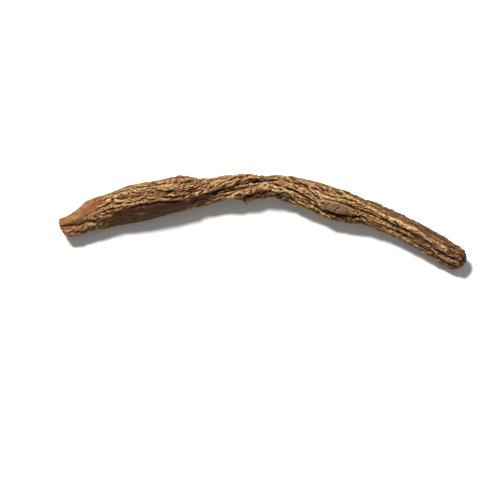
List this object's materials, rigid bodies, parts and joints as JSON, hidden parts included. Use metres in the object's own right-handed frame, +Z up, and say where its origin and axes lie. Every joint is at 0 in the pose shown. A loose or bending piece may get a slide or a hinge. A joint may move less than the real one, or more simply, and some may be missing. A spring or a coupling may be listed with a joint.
{
  "type": "akarkara root",
  "caption": "Dried akarkara (pellitory) taproot, arched and shrivelled, with a broken crown end, a twisted waist and a blunt tip.",
  "frame": {"origin": "on the surface it lies on, under the middle of the root's bounding box", "axes": "+X along the root from the broken crown end to the blunt tip, +Y the way it arches, +Z up"},
  "size_m": [0.143, 0.034, 0.0128],
  "materials": {
    "root_bark": "dry wrinkled brown root bark, matt, with darker creases and paler ridges"
  },
  "bodies": {
    "root": {"akarkara_root": "root_bark"}
  },
  "joints": []
}
